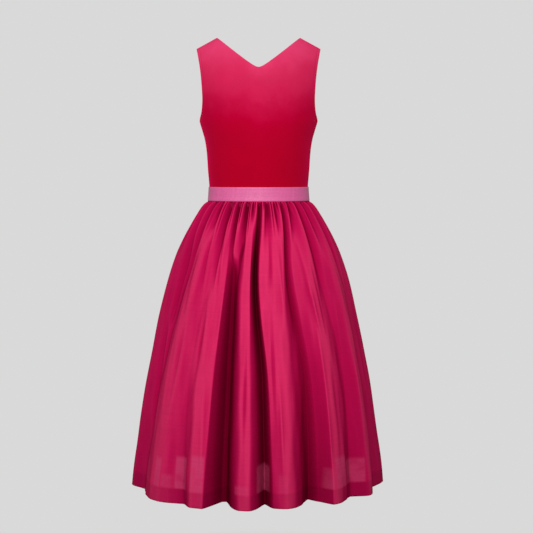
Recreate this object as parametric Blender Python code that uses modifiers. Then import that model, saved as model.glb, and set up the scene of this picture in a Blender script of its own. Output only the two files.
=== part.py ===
"""A sleeveless dirndl, worn and hollow: velvet bodice, satin waistband and gathered skirt.

Metres, +Z up. Z = 0 is the height of the two points where the shoulder seams meet the neck.
-Y is the wearer's back, +Y the front, +X the wearer's right. Angles round the body are in
degrees, 0 at the centre back and growing towards +X.
"""
from bisect import bisect_right
from collections import namedtuple
from math import acos, asin, cos, degrees, hypot, pi, radians, sin

import bmesh
import bpy

# Heights and lengths
UNDERARM = -0.205
WAIST_SEAM = -0.391
BAND_TOP = -0.367
BAND_BOTTOM = -0.401
SKIRT_LENGTH = 0.715
HEM_TOP = 0.679  # depth of the turned-up hem's upper edge below the waistband

# Shoulders and neck
NECK_HALF_WIDTH = 0.103
SHOULDER_HALF_WIDTH = 0.153
SHOULDER_FALL = 0.027
SHOULDER_ROUND = 0.145
BACK_NECK_DROP = 0.078
FRONT_NECK_DROP = 0.165
NECK_TIP_ROUND = 0.006
NECK_CURVE = 1.12

# Bust cups, one on each side of the centre front
CUP_SIDE = 0.074
CUP_HEIGHT = -0.240
CUP_RADIUS = 0.088
CUP_DEPTH = 0.018
CUP_SIDE_FADE = 6

# Cloth walls and the gap between pieces
SEAM_GAP = 0.0003
BODICE_WALL = 0.0018
BAND_WALL = 0.0016
SKIRT_WALL = 0.0012
HEM_WALL = 0.0020
LINING_WALL = 0.0010
WELD = 0.00005

# Body under the bodice: height, half width, depth behind and before the side seams
Body = namedtuple("Body", "height half_width back front")
BODY = [
    Body(-0.391, 0.1240, 0.0930, 0.0930),
    Body(-0.367, 0.1227, 0.0920, 0.0925),
    Body(-0.350, 0.1238, 0.0930, 0.0940),
    Body(-0.325, 0.1260, 0.0955, 0.0975),
    Body(-0.300, 0.1274, 0.0980, 0.1025),
    Body(-0.275, 0.1295, 0.1005, 0.1080),
    Body(-0.251, 0.1333, 0.1030, 0.1115),
    Body(-0.226, 0.1401, 0.1045, 0.1115),
    Body(-0.205, 0.1463, 0.1050, 0.1085),
    Body(-0.165, 0.1540, 0.1050, 0.1020),
    Body(-0.120, 0.1600, 0.1030, 0.0950),
    Body(-0.078, 0.1640, 0.0990, 0.0880),
    Body(-0.027, 0.1680, 0.0930, 0.0800),
]

# Armhole edges: height, distance from the centre plane at the back and at the front
Armhole = namedtuple("Armhole", "height back front")
ARMHOLE = [
    Armhole(-0.205, 0.1463, 0.1463),
    Armhole(-0.197, 0.1440, 0.1415),
    Armhole(-0.187, 0.1408, 0.1370),
    Armhole(-0.175, 0.1388, 0.1335),
    Armhole(-0.152, 0.1374, 0.1305),
    Armhole(-0.127, 0.1385, 0.1305),
    Armhole(-0.103, 0.1404, 0.1330),
    Armhole(-0.078, 0.1434, 0.1375),
    Armhole(-0.056, 0.1471, 0.1435),
    Armhole(-0.027, 0.1530, 0.1530),
]
# Shares of the way up: from the waist to the underarm, and from there to the shoulder
LOWER_ROWS = (0.0, 0.13, 0.27, 0.42, 0.57, 0.72, 0.87)
UPPER_ROWS = (0.0, 0.025, 0.065, 0.12, 0.22, 0.34, 0.47, 0.60, 0.73, 0.86, 0.975, 1.0)
COLUMNS_A_HALF = 13
SEAM_COLUMN = 0.985
ROUNDS = 24  # of each search for a point on a neckline or an armhole

# Skirt outline before its folds: depth below the waistband, half width, half depth
Section = namedtuple("Section", "drop half_width half_depth")
SKIRT = [
    Section(-0.010, 0.1240, 0.0930),
    Section(0.001, 0.1252, 0.0942),
    Section(0.004, 0.1305, 0.0980),
    Section(0.012, 0.1392, 0.1048),
    Section(0.038, 0.1565, 0.1200),
    Section(0.061, 0.1699, 0.1320),
    Section(0.092, 0.1865, 0.1460),
    Section(0.136, 0.2065, 0.1640),
    Section(0.192, 0.2256, 0.1820),
    Section(0.270, 0.2452, 0.2030),
    Section(0.370, 0.2666, 0.2260),
    Section(0.480, 0.2876, 0.2450),
    Section(0.590, 0.3040, 0.2600),
    Section(HEM_TOP, 0.3172, 0.2690),
    Section(SKIRT_LENGTH, 0.3205, 0.2710),
]

# Large folds, ridge and valley lines in turn, all round the skirt.
# Start: the drop below the waistband where the line leaves the outline.
# Angles: in the waist seam, in the upper skirt, in the lower skirt and at the hem.
# Insets: how far the line lies inside the outline in the upper and lower skirt and at the hem.
Fold = namedtuple("Fold", "start waist upper lower hem inset_upper inset_lower inset_hem")
Level = namedtuple("Level", "drop value")
UPPER_LEVEL = 0.175
LOWER_LEVEL = 0.420
SHARP_VALLEYS = 0.35
FOLDS = [
    Fold(0.04, -180.0, -180.0, -179.0, -178.0, 0.000, 0.002, 0.006),
    Fold(0.04, -164.0, -166.0, -165.0, -163.0, 0.024, 0.058, 0.080),
    Fold(0.04, -153.0, -154.0, -153.0, -151.0, 0.000, 0.000, 0.000),
    Fold(0.04, -139.0, -138.0, -138.0, -136.0, 0.010, 0.030, 0.058),
    Fold(0.04, -126.0, -125.0, -124.0, -123.0, 0.000, 0.004, 0.008),
    Fold(0.04, -113.0, -113.0, -112.0, -111.0, 0.014, 0.044, 0.066),
    Fold(0.04, -93.0, -92.0, -91.0, -90.0, 0.000, 0.000, 0.000),
    Fold(0.01, -61.5, -68.5, -74.0, -79.0, 0.031, 0.027, 0.030),
    Fold(0.04, -52.0, -48.0, -53.5, -54.0, 0.000, 0.001, -0.002),
    Fold(0.06, -44.0, -39.5, -42.7, -41.5, 0.004, 0.009, 0.018),
    Fold(0.04, -35.5, -32.7, -34.6, -33.5, 0.000, -0.001, -0.005),
    Fold(0.04, -30.5, -25.4, -26.6, -28.0, 0.000, -0.002, -0.006),
    Fold(0.11, -26.0, -23.0, -24.0, -25.2, 0.024, 0.056, 0.074),
    Fold(0.11, -22.5, -21.2, -22.2, -22.9, 0.026, 0.060, 0.077),
    Fold(0.04, -11.5, -11.6, -9.8, -8.8, 0.000, -0.001, -0.002),
    Fold(0.04, -6.0, -6.8, -5.2, -5.0, 0.000, -0.003, -0.004),
    Fold(0.002, 1.5, -3.4, 2.6, 3.9, 0.032, 0.043, 0.060),
    Fold(0.02, 6.0, 0.4, 5.9, 8.3, 0.001, 0.006, 0.020),
    Fold(0.04, 20.0, 17.1, 14.0, 14.6, 0.000, 0.003, 0.010),
    Fold(0.02, 32.5, 23.3, 32.3, 36.0, 0.011, 0.040, 0.084),
    Fold(0.04, 38.5, 27.8, 34.3, 37.8, 0.003, 0.022, 0.052),
    Fold(0.04, 46.0, 41.2, 39.0, 40.0, 0.000, 0.001, 0.010),
    Fold(0.04, 53.5, 51.0, 57.5, 58.5, 0.010, 0.022, 0.044),
    Fold(0.04, 66.0, 63.9, 63.5, 65.9, 0.000, 0.001, 0.012),
    Fold(0.04, 78.0, 78.0, 79.5, 81.0, 0.012, 0.024, 0.034),
    Fold(0.04, 94.0, 95.0, 97.0, 99.0, 0.000, 0.000, -0.002),
    Fold(0.04, 112.0, 112.0, 111.0, 112.0, 0.012, 0.046, 0.070),
    Fold(0.04, 127.0, 126.0, 124.0, 124.0, 0.000, 0.002, 0.000),
    Fold(0.04, 140.0, 141.0, 140.0, 138.0, 0.022, 0.052, 0.086),
    Fold(0.04, 155.0, 155.0, 154.0, 153.0, 0.000, 0.006, 0.010),
    Fold(0.04, 168.0, 168.0, 168.0, 168.0, 0.008, 0.026, 0.048),
]

# Gathers of the back: angle of the valley in the waist seam, its depth, and where it fades out
Gather = namedtuple("Gather", "angle depth length")
GATHER_FULL = 0.030
GATHER_FADE = 1.5
BACK_GATHERS = [
    Gather(-84.0, 0.0150, 0.130),
    Gather(-73.5, 0.0120, 0.090),
    Gather(-61.5, 0.0160, 0.170),
    Gather(-52.0, 0.0135, 0.100),
    Gather(-38.4, 0.0160, 0.200),
    Gather(-27.5, 0.0150, 0.180),
    Gather(-15.3, 0.0130, 0.170),
    Gather(-7.0, 0.0040, 0.060),
    Gather(1.5, 0.0125, 0.260),
    Gather(12.0, 0.0105, 0.100),
    Gather(22.0, 0.0050, 0.090),
    Gather(32.7, 0.0130, 0.240),
    Gather(41.3, 0.0120, 0.090),
    Gather(53.0, 0.0160, 0.220),
    Gather(62.3, 0.0135, 0.110),
    Gather(74.0, 0.0155, 0.180),
    Gather(84.0, 0.0130, 0.100),
]
FRONT_GATHERS_A_SIDE = 9
FRONT_GATHER_DEPTH = 0.0092
COLUMNS_A_GATHER = 4
BESIDE_SEAM = 0.03

# Lining outline, from just under the waist seam to its own hem
LINING = [
    Section(-0.0094, 0.1222, 0.0912),
    Section(0.040, 0.1290, 0.0930),
    Section(0.110, 0.1480, 0.1060),
    Section(0.320, 0.1950, 0.1350),
    Section(0.619, 0.2380, 0.1580),
]
LINING_COLUMNS = 40
BAND_COLUMNS = 72

VELVET = (0.42, 0.002, 0.025)
SATIN = (0.75, 0.16, 0.36)
COTTON = (0.45, 0.012, 0.085)
LINING_COLOUR = (0.38, 0.010, 0.07)


def between(rows, column, at):
    """A smooth reading of one column of a table, with no overshoot between its rows."""
    keys = [row[0] for row in rows]
    values = [getattr(row, column) for row in rows]
    if at <= keys[0]:
        return values[0]
    if at >= keys[-1]:
        return values[-1]
    slopes = [(values[i + 1] - values[i]) / (keys[i + 1] - keys[i]) for i in range(len(keys) - 1)]
    i = bisect_right(keys, at) - 1
    width = keys[i + 1] - keys[i]
    share = (at - keys[i]) / width
    start = end = slopes[i]
    if i > 0:
        start = mean_slope(slopes[i - 1], slopes[i])
    if i < len(slopes) - 1:
        end = mean_slope(slopes[i], slopes[i + 1])
    rest = 1 - share
    return (values[i] * rest * rest * (1 + 2 * share) + values[i + 1] * share * share * (3 - 2 * share)
            + width * share * rest * (start * rest - end * share))


def mean_slope(before, after):
    if before * after <= 0:
        return 0.0
    return 2 * before * after / (before + after)


def ease(share):
    share = min(max(share, 0.0), 1.0)
    return share * share * (3 - 2 * share)


# ---- Bodice

def shoulder_line(x):
    """Height of the shoulder seam's line at a distance from the centre plane."""
    return -SHOULDER_FALL * (abs(x) - NECK_HALF_WIDTH) / (SHOULDER_HALF_WIDTH - NECK_HALF_WIDTH)


def fall_at(turn):
    """How far the cloth has dropped below the shoulder line after turning over the shoulder."""
    if turn < 90:
        return SHOULDER_ROUND * (1 - cos(radians(turn)))
    return SHOULDER_ROUND * (1 + radians(turn - 90))


def turn_at(fall):
    if fall < SHOULDER_ROUND:
        return degrees(acos(1 - fall / SHOULDER_ROUND))
    return 90 + degrees(fall / SHOULDER_ROUND - 1)


def neck_height(x, neck_drop):
    """Height of the V neckline at a distance from the centre plane."""
    tip = (hypot(x, NECK_TIP_ROUND) - NECK_TIP_ROUND) / (NECK_HALF_WIDTH - NECK_TIP_ROUND)
    return -neck_drop * (1 - min(tip, 1.0) ** NECK_CURVE)


def cup(x, z):
    """How far a bust cup stands before the plain front."""
    away = hypot(abs(x) - CUP_SIDE, z - CUP_HEIGHT) / CUP_RADIUS
    return CUP_DEPTH * (0.5 + 0.5 * cos(pi * min(away, 1.0)))


def neck_x(turn, neck_drop):
    """Distance of the neckline from the centre plane, where the cloth has turned that far."""
    low, high = 0.0, NECK_HALF_WIDTH
    for _ in range(ROUNDS):
        middle = (low + high) / 2
        if shoulder_line(middle) - neck_height(middle, neck_drop) > fall_at(turn):
            low = middle
        else:
            high = middle
    return (low + high) / 2


def armhole_x(turn, side):
    x = SHOULDER_HALF_WIDTH
    for _ in range(ROUNDS):
        x = between(ARMHOLE, side, shoulder_line(x) - fall_at(turn))
    return x


def whole_turn(across):
    """How far a column of the cloth turns from the shoulder seam down to the underarm's height."""
    x = between(BODY, "half_width", UNDERARM) * sin(pi / 2 * across)
    return turn_at(shoulder_line(x) - UNDERARM)


def bodice_point(across, share_up, side, neck_drop):
    """A point of half a bodice panel, in the body's own half space.

    across is 0 at the centre line or neckline and 1 at the side seam or armhole. share_up is -1
    at the waist seam, 0 at the underarm and 1 at the shoulder seam.
    """
    if share_up <= 0:
        z = UNDERARM - share_up * (WAIST_SEAM + SEAM_GAP / 2 - UNDERARM)
        angle = pi / 2 * across
        x = between(BODY, "half_width", z) * sin(angle)
        over_shoulder = 1.0
    else:
        inner_turn, outer_turn = (1 - share_up) * whole_turn(0), (1 - share_up) * whole_turn(1)
        inner, outer = neck_x(inner_turn, neck_drop), armhole_x(outer_turn, side)
        half_width = between(BODY, "half_width", shoulder_line(outer) - fall_at(outer_turn))
        inner_angle, outer_angle = asin(inner / half_width), asin(min(outer / half_width, 1.0))
        angle = inner_angle + (outer_angle - inner_angle) * across
        turn = (1 - share_up) * whole_turn(across)
        x = half_width * sin(angle)
        z = shoulder_line(x) - fall_at(turn)
        over_shoulder = sin(radians(min(turn, 90)))
    y = between(BODY, side, z) * cos(angle) * over_shoulder
    if side == "front":
        y += cup(x, z) * over_shoulder * (1 - across ** CUP_SIDE_FADE)
    return x, hypot(y, SEAM_GAP), z


def bodice_rows(neck_drop):
    """Rows of a bodice panel from the waist up, one of them at the tip of the neckline."""
    tip = 1 - turn_at(shoulder_line(0) + neck_drop) / whole_turn(0)
    nearest = min(UPPER_ROWS, key=lambda share: abs(share - tip))
    upper = [tip if share == nearest else share for share in UPPER_ROWS]
    return [share - 1 for share in LOWER_ROWS] + upper


BODICE_COLUMNS = [i / COLUMNS_A_HALF for i in range(COLUMNS_A_HALF)] + [SEAM_COLUMN, 1.0]


def make_bodice_back(material):
    """The back, one piece: a half with its centre line on the plane, and its mirror image."""
    rows = bodice_rows(BACK_NECK_DROP)

    def place(column, row):
        x, y, z = bodice_point(BODICE_COLUMNS[column], rows[row], "back", BACK_NECK_DROP)
        return (x if x > SEAM_GAP else 0.0, -y, z)

    panel("bodice_back", len(BODICE_COLUMNS), len(rows), place, BODICE_WALL, material, mirror=True)


def make_bodice_front(name, sign, material):
    """One of the two fronts, which meet edge to edge in the centre."""
    rows = bodice_rows(FRONT_NECK_DROP)
    columns = list(reversed(BODICE_COLUMNS)) if sign > 0 else BODICE_COLUMNS

    def place(column, row):
        x, y, z = bodice_point(columns[column], rows[row], "front", FRONT_NECK_DROP)
        return (sign * hypot(x, SEAM_GAP / 2), y, z)

    panel(name, len(columns), len(rows), place, BODICE_WALL, material)


# ---- Waistband

def make_waistband(material):
    """One strip round the waist, over the seam of bodice and skirt, its ends at the front."""
    rows = (BAND_BOTTOM, WAIST_SEAM, BAND_TOP)
    out = SEAM_GAP + BAND_WALL

    def place(column, row):
        z = rows[row]
        angle = -180 + 360 * column / BAND_COLUMNS
        if row == 0:
            half_width = between(SKIRT, "half_width", 0.0)
            depth = between(SKIRT, "half_depth", 0.0)
        else:
            half_width = between(BODY, "half_width", z)
            depth = between(BODY, "back" if abs(angle) < 90 else "front", z)
        x = (half_width + out) * sin(radians(angle))
        y = -(depth + out) * cos(radians(angle))
        if column in (0, BAND_COLUMNS):
            x = SEAM_GAP / 2 if column else -SEAM_GAP / 2
        return (x, y, z)

    panel("waistband", BAND_COLUMNS + 1, len(rows), place, BAND_WALL, material)


# ---- Skirt

def ellipse_radius(angle, half_width, half_depth):
    return 1 / hypot(sin(radians(angle)) / half_width, cos(radians(angle)) / half_depth)


def fold_line(fold, drop):
    """Angle and inset of one large fold's line at a depth below the waistband."""
    turns = [Level(0.0, fold.waist), Level(UPPER_LEVEL, fold.upper),
             Level(LOWER_LEVEL, fold.lower), Level(SKIRT_LENGTH, fold.hem)]
    depths = [Level(0.0, 0.0), Level(fold.start, 0.0), Level(UPPER_LEVEL, fold.inset_upper),
              Level(LOWER_LEVEL, fold.inset_lower), Level(SKIRT_LENGTH, fold.inset_hem)]
    return between(turns, "value", drop), between(depths, "value", drop)


def fold_at(seam_angle, drop):
    """Angle and inset that the large folds give to the cloth gathered in at an angle."""
    after = bisect_right([fold.waist for fold in FOLDS], seam_angle)
    before_fold = FOLDS[after - 1]
    after_fold = FOLDS[after % len(FOLDS)]
    turn_before = -360 if after == 0 else 0
    turn_after = 360 if after == len(FOLDS) else 0
    before_angle, before_inset = fold_line(before_fold, drop)
    after_angle, after_inset = fold_line(after_fold, drop)
    start = before_fold.waist + turn_before
    share = (seam_angle - start) / (after_fold.waist + turn_after - start)
    angle = (before_angle + turn_before) * (1 - share) + (after_angle + turn_after) * share
    deep, shallow = max(before_inset, after_inset), min(before_inset, after_inset)
    up = share if before_inset > after_inset else 1 - share
    wall = ease(up) * (1 - SHARP_VALLEYS) + up * (2 - up) * SHARP_VALLEYS
    return angle, deep + (shallow - deep) * wall


def gather_inset(gather, phase, drop):
    """Depth of one gather: phase is 0 and 1 on its ridges and 0.5 in its valley."""
    grown = ease(drop / GATHER_FULL)
    faded = (drop - GATHER_FULL) / (GATHER_FADE * gather.length - GATHER_FULL)
    left = (1 - min(max(faded, 0), 1)) ** 2
    return gather.depth * grown * left * (0.5 - 0.5 * cos(2 * pi * phase))


def skirt_point(gather, seam_angle, phase, drop):
    angle, inset = fold_at(seam_angle, drop)
    radius = ellipse_radius(angle, between(SKIRT, "half_width", drop), between(SKIRT, "half_depth", drop))
    radius -= inset + gather_inset(gather, phase, drop)
    return (radius * sin(radians(angle)), -radius * cos(radians(angle)), BAND_BOTTOM - drop)


def front_gathers(start, end):
    """Gathers of a hidden front, as uneven as those of the back."""
    gathers = []
    for i in range(FRONT_GATHERS_A_SIDE):
        angle = start + (end - start) * (i + 0.5 + 0.16 * sin(2.4 * i + 0.05 * start)) / FRONT_GATHERS_A_SIDE
        depth = FRONT_GATHER_DEPTH * (1 + 0.25 * sin(1.9 * i + 0.02 * end))
        length = 0.170 + 0.080 * sin(2.7 * i + 0.03 * start)
        gathers.append(Gather(angle, depth, length))
    return gathers


def make_skirt_width(name, gathers, start, end, material):
    """One gathered width between two seams, its hem turned up and so twice as thick."""
    ridges = [start]
    for first, second in zip(gathers, gathers[1:]):
        ridges.append((first.angle + second.angle) / 2)
    ridges.append(end)
    rows = [section.drop for section in reversed(SKIRT)]
    last = len(gathers)
    steps = [i / COLUMNS_A_GATHER for i in range(1, last * COLUMNS_A_GATHER)]
    columns = [0, BESIDE_SEAM] + steps + [last - BESIDE_SEAM, last]

    def place(column, row):
        number = min(int(columns[column]), last - 1)
        phase = columns[column] - number
        gather = gathers[number]
        if phase < 0.5:
            angle = ridges[number] + (gather.angle - ridges[number]) * 2 * phase
        else:
            angle = gather.angle + (ridges[number + 1] - gather.angle) * (2 * phase - 1)
        drop = rows[row]
        if row == len(rows) - 1:
            drop += SEAM_GAP / 2
        x, y, z = skirt_point(gather, angle, phase, drop)
        return off_seam(x, y, columns[column], last) + (z,)

    thin = SKIRT_WALL / HEM_WALL
    panel(name, len(columns), len(rows), place, HEM_WALL, material,
          share=lambda row: 1.0 if rows[row] >= HEM_TOP else thin)


def off_seam(x, y, column, last):
    """Moves the first and last column of a width off the seam, round the skirt."""
    if 0 < column < last:
        return (x, y)
    size = hypot(x, y)
    along = SEAM_GAP if column == 0 else -SEAM_GAP
    return (x - along * y / size, y + along * x / size)


def make_lining(material):
    """A plain tube inside the skirt, its top edge in the waist seam."""
    rows = list(reversed(LINING))

    def place(column, row):
        section = rows[row]
        angle = -180 + 360 * column / LINING_COLUMNS
        x = section.half_width * sin(radians(angle))
        y = -section.half_depth * cos(radians(angle))
        return (x, y, BAND_BOTTOM - section.drop)

    panel("skirt_lining", LINING_COLUMNS + 1, len(rows), place, LINING_WALL, material)


# ---- Meshes

def panel(name, columns, rows, place, wall, material, share=None, mirror=False):
    """A piece of cloth: a grid of points with its outer face on them, and a wall inside.

    share gives the part of the full wall that a row has.
    """
    sheet = bmesh.new()
    bmesh.ops.create_grid(sheet, x_segments=columns - 1, y_segments=rows - 1, size=0.5)
    thickness = sheet.verts.layers.deform.verify()
    for vert in sheet.verts:
        column = round((vert.co.x + 0.5) * (columns - 1))
        row = round((vert.co.y + 0.5) * (rows - 1))
        vert.co = place(column, row)
        vert[thickness][0] = share(row) if share else 1.0
    bmesh.ops.remove_doubles(sheet, verts=sheet.verts, dist=WELD)
    mesh = bpy.data.meshes.new(name)
    sheet.to_mesh(mesh)
    sheet.free()
    piece = bpy.data.objects.new(name, mesh)
    COLLECTION.objects.link(piece)
    piece.parent = HELD
    mesh.materials.append(material)
    mesh.shade_smooth()
    if mirror:
        other_half = piece.modifiers.new("other half", "MIRROR")
        other_half.merge_threshold = WELD
    cloth = piece.modifiers.new("cloth", "SOLIDIFY")
    cloth.thickness = wall
    cloth.offset = -1
    cloth.use_even_offset = True
    cloth.vertex_group = piece.vertex_groups.new(name="thickness").name


def finish(name, colour, roughness, sheen):
    material = bpy.data.materials.new(name)
    material.use_nodes = True
    shader = material.node_tree.nodes["Principled BSDF"]
    shader.inputs["Base Color"].default_value = (*colour, 1)
    shader.inputs["Roughness"].default_value = roughness
    shader.inputs["Metallic"].default_value = 0
    shader.inputs["Sheen Weight"].default_value = sheen
    return material


for old in list(bpy.data.objects):
    bpy.data.objects.remove(old)

COLLECTION = bpy.data.collections.new("dirndl")
bpy.context.scene.collection.children.link(COLLECTION)
HELD = bpy.data.objects.new("shoulders", None)
COLLECTION.objects.link(HELD)

make_bodice_back(finish("back velvet", VELVET, 0.8, 0.6))
make_bodice_front("bodice_front_right", 1, finish("right front velvet", VELVET, 0.8, 0.6))
make_bodice_front("bodice_front_left", -1, finish("left front velvet", VELVET, 0.8, 0.6))
make_waistband(finish("satin ribbon", SATIN, 0.4, 0.1))
make_skirt_width("skirt_back", BACK_GATHERS, -90, 90, finish("back cotton", COTTON, 0.6, 0.2))
make_skirt_width("skirt_front_right", front_gathers(90, 180), 90, 180,
                 finish("right front cotton", COTTON, 0.6, 0.2))
make_skirt_width("skirt_front_left", front_gathers(-180, -90), -180, -90,
                 finish("left front cotton", COTTON, 0.6, 0.2))
make_lining(finish("lining cotton", LINING_COLOUR, 0.6, 0.1))
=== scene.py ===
from collections import namedtuple

import bmesh
import bpy
import numpy as np
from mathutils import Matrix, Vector


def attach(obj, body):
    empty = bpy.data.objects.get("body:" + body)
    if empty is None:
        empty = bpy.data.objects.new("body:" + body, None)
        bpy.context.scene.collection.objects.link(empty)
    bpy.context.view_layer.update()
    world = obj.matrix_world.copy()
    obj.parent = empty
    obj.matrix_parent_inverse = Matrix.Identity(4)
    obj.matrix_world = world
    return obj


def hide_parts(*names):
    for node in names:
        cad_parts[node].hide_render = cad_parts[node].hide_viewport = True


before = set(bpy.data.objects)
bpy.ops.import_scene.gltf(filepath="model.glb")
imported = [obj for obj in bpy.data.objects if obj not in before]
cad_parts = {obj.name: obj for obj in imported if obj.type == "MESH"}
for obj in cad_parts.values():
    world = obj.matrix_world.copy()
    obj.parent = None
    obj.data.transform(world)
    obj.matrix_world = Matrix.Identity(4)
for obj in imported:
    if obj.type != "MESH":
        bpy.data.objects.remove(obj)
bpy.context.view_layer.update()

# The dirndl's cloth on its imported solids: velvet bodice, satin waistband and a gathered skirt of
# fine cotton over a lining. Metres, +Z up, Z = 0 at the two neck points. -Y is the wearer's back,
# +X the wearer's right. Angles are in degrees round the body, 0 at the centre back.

SCENE = bpy.context.scene

# ---- Sizes of the cut

UNDERARM = -0.205
WAIST_SEAM = -0.391
BAND_TOP = -0.367
BAND_BOTTOM = -0.401
SKIRT_LENGTH = 0.715
HEM_TOP = 0.679
NECK_HALF_WIDTH = 0.103
SHOULDER_HALF_WIDTH = 0.153
SHOULDER_FALL = 0.027
SHOULDER_ROUND = 0.145
BACK_NECK_DROP = 0.078
FRONT_NECK_DROP = 0.165
NECK_TIP_ROUND = 0.006
NECK_CURVE = 1.12
CUP_SIDE = 0.074
CUP_HEIGHT = -0.240
CUP_RADIUS = 0.088
CUP_DEPTH = 0.018
CUP_SIDE_FADE = 6
SEAM_GAP = 0.0003
BODICE_WALL = 0.0018
BAND_WALL = 0.0016
BAND_CLOTH = 0.0011
HEM_FOLD = 0.0011

Body = namedtuple("Body", "height half_width back front")
BODY = [Body(*row) for row in (
    (-0.391, 0.1240, 0.0930, 0.0930),
    (-0.367, 0.1227, 0.0920, 0.0925),
    (-0.350, 0.1238, 0.0930, 0.0940),
    (-0.325, 0.1260, 0.0955, 0.0975),
    (-0.300, 0.1274, 0.0980, 0.1025),
    (-0.275, 0.1295, 0.1005, 0.1080),
    (-0.251, 0.1333, 0.1030, 0.1115),
    (-0.226, 0.1401, 0.1045, 0.1115),
    (-0.205, 0.1463, 0.1050, 0.1085),
    (-0.165, 0.1540, 0.1050, 0.1020),
    (-0.120, 0.1600, 0.1030, 0.0950),
    (-0.078, 0.1640, 0.0990, 0.0880),
    (-0.027, 0.1680, 0.0930, 0.0800),
)]

Armhole = namedtuple("Armhole", "height back front")
ARMHOLE = [Armhole(*row) for row in (
    (-0.205, 0.1463, 0.1463),
    (-0.197, 0.1440, 0.1415),
    (-0.187, 0.1408, 0.1370),
    (-0.175, 0.1388, 0.1335),
    (-0.152, 0.1374, 0.1305),
    (-0.127, 0.1385, 0.1305),
    (-0.103, 0.1404, 0.1330),
    (-0.078, 0.1434, 0.1375),
    (-0.056, 0.1471, 0.1435),
    (-0.027, 0.1530, 0.1530),
)]

Section = namedtuple("Section", "drop half_width half_depth")
SKIRT = [Section(*row) for row in (
    (-0.010, 0.1240, 0.0930),
    (0.001, 0.1252, 0.0942),
    (0.004, 0.1305, 0.0980),
    (0.012, 0.1392, 0.1048),
    (0.038, 0.1565, 0.1200),
    (0.061, 0.1699, 0.1320),
    (0.092, 0.1865, 0.1460),
    (0.136, 0.2065, 0.1640),
    (0.192, 0.2256, 0.1820),
    (0.270, 0.2452, 0.2030),
    (0.370, 0.2666, 0.2260),
    (0.480, 0.2876, 0.2450),
    (0.590, 0.3040, 0.2600),
    (HEM_TOP, 0.3172, 0.2690),
    (SKIRT_LENGTH, 0.3205, 0.2710),
)]
LINING = [Section(*row) for row in (
    (-0.0094, 0.1222, 0.0912),
    (0.040, 0.1290, 0.0930),
    (0.110, 0.1480, 0.1060),
    (0.320, 0.1950, 0.1350),
    (0.619, 0.2380, 0.1580),
)]

# Large folds, ridge and valley lines in turn: the drop where each starts to open, its angles in
# the waist seam, the upper and the lower skirt and at the hem, and how far it lies inside the
# outline there
Fold = namedtuple("Fold", "start waist upper lower hem inset_upper inset_lower inset_hem")
Level = namedtuple("Level", "drop value")
UPPER_LEVEL = 0.175
LOWER_LEVEL = 0.420
FOLDS = [Fold(*row) for row in (
    (0.04, -180.0, -180.0, -179.0, -178.0, 0.000, 0.002, 0.006),
    (0.04, -164.0, -166.0, -165.0, -163.0, 0.024, 0.058, 0.080),
    (0.04, -153.0, -154.0, -153.0, -151.0, 0.000, 0.000, 0.000),
    (0.04, -139.0, -138.0, -138.0, -136.0, 0.010, 0.030, 0.058),
    (0.04, -126.0, -125.0, -124.0, -123.0, 0.000, 0.004, 0.008),
    (0.04, -113.0, -113.0, -112.0, -111.0, 0.014, 0.044, 0.066),
    (0.04, -93.0, -92.0, -91.0, -90.0, 0.000, 0.000, 0.000),
    (0.01, -61.5, -68.5, -74.0, -79.0, 0.031, 0.027, 0.030),
    (0.04, -52.0, -48.0, -53.5, -54.0, 0.000, 0.001, -0.002),
    (0.06, -44.0, -39.5, -42.7, -41.5, 0.004, 0.009, 0.018),
    (0.04, -35.5, -32.7, -34.6, -33.5, 0.000, -0.001, -0.005),
    (0.04, -30.5, -25.4, -26.6, -28.0, 0.000, -0.002, -0.006),
    (0.11, -26.0, -23.0, -24.0, -25.2, 0.024, 0.056, 0.074),
    (0.11, -22.5, -21.2, -22.2, -22.9, 0.026, 0.060, 0.077),
    (0.04, -11.5, -11.6, -9.8, -8.8, 0.000, -0.001, -0.002),
    (0.04, -6.0, -6.8, -5.2, -5.0, 0.000, -0.003, -0.004),
    (0.002, 1.5, -3.4, 2.6, 3.9, 0.032, 0.043, 0.060),
    (0.02, 6.0, 0.4, 5.9, 8.3, 0.001, 0.006, 0.020),
    (0.04, 20.0, 17.1, 14.0, 14.6, 0.000, 0.003, 0.010),
    (0.02, 32.5, 23.3, 32.3, 36.0, 0.011, 0.040, 0.084),
    (0.04, 38.5, 27.8, 34.3, 37.8, 0.003, 0.022, 0.052),
    (0.04, 46.0, 41.2, 39.0, 40.0, 0.000, 0.001, 0.010),
    (0.04, 53.5, 51.0, 57.5, 58.5, 0.010, 0.022, 0.044),
    (0.04, 66.0, 63.9, 63.5, 65.9, 0.000, 0.001, 0.012),
    (0.04, 78.0, 78.0, 79.5, 81.0, 0.012, 0.024, 0.034),
    (0.04, 94.0, 95.0, 97.0, 99.0, 0.000, 0.000, -0.002),
    (0.04, 112.0, 112.0, 111.0, 112.0, 0.012, 0.046, 0.070),
    (0.04, 127.0, 126.0, 124.0, 124.0, 0.000, 0.002, 0.000),
    (0.04, 140.0, 141.0, 140.0, 138.0, 0.022, 0.052, 0.086),
    (0.04, 155.0, 155.0, 154.0, 153.0, 0.000, 0.006, 0.010),
    (0.04, 168.0, 168.0, 168.0, 168.0, 0.008, 0.026, 0.048),
)]

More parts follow.
